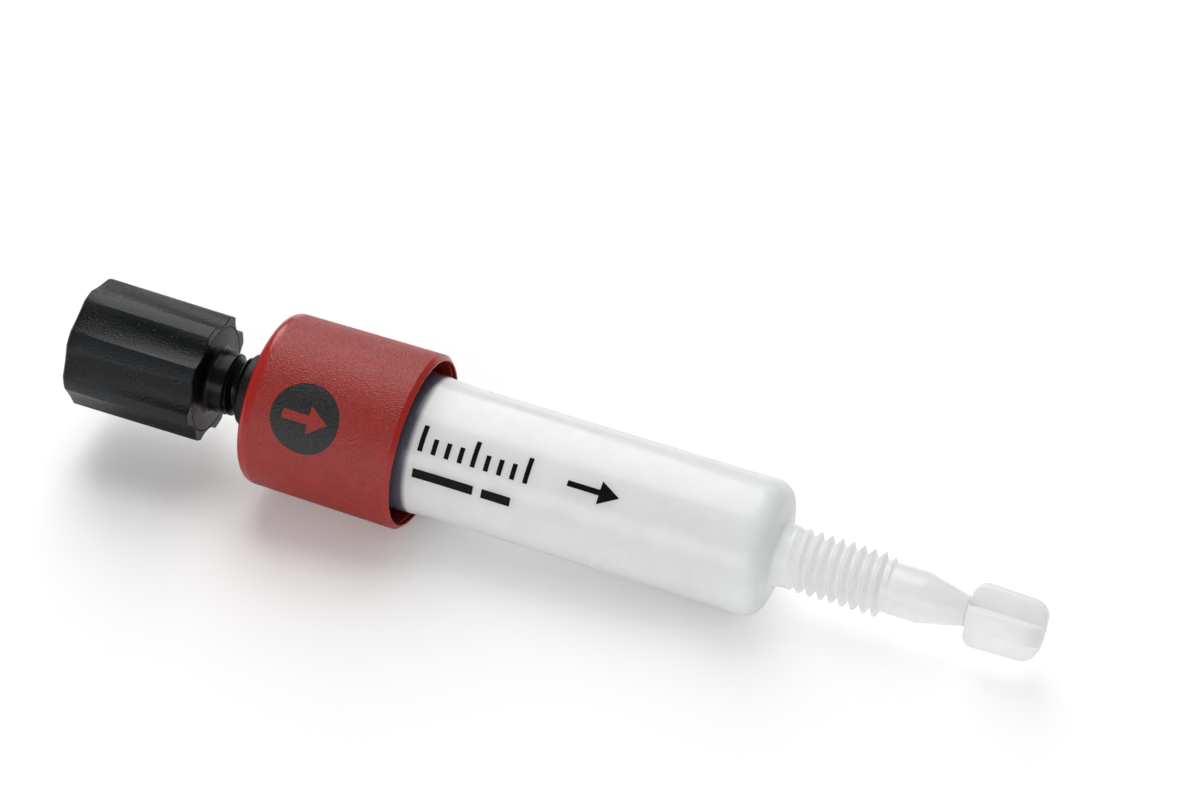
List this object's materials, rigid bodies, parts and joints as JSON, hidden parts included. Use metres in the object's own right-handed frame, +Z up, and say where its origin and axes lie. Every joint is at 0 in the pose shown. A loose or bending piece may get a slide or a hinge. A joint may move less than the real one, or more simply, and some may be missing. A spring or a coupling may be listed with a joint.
{
  "type": "prepacked_chromatography_column",
  "caption": "Small prepacked chromatography column: clear tube of bed between frits, locking collar, threaded outlet with snap-off tab, fluted stop plug on a coupled screw joint.",
  "frame": {"origin": "centre of the bounding box on the table the column lies on, z = 0 at the table", "axes": "X along the column towards the outlet, with the outlet end 3.4 degrees low; Z up; -Y the side that faces the camera"},
  "size_m": [0.0734, 0.0132, 0.0137],
  "materials": {
    "milky_plastic": "clear to milky injection-moulded polypropylene",
    "red_plastic": "fine spark-eroded red polypropylene",
    "black_plastic": "fine moulded texture, charcoal black",
    "gloss_black_plastic": "smooth black polypropylene",
    "white_plastic": "white porous polyethylene frit or settled gel",
    "seal_rubber": "smooth elastomer"
  },
  "bodies": {
    "column": {"barrel": "milky_plastic", "locking_collar": "red_plastic", "inlet_adapter": "black_plastic", "adapter_seal": "seal_rubber", "top_frit": "white_plastic", "packed_bed": "white_plastic", "bottom_frit": "white_plastic"},
    "plug_core": {"plug_core": "gloss_black_plastic"},
    "plug_knob": {"plug_knob": "black_plastic"}
  },
  "joints": [
    {"name": "plug_lift", "type": "slide", "parent": "column", "child": "plug_core", "axis": [-0.9982, 0, 0.0598], "range_m": [0, 0.00794]},
    {"name": "knob_turn", "type": "hinge", "parent": "plug_core", "child": "plug_knob", "pos_m": [-0.03013, 0, 0.00775], "axis": [-0.9982, 0, 0.0598], "range_deg": [0, 3600]}
  ],
  "couplings": [
    {"joint": "knob_turn", "follows": "plug_lift", "rad_per_m": 7915.8}
  ]
}
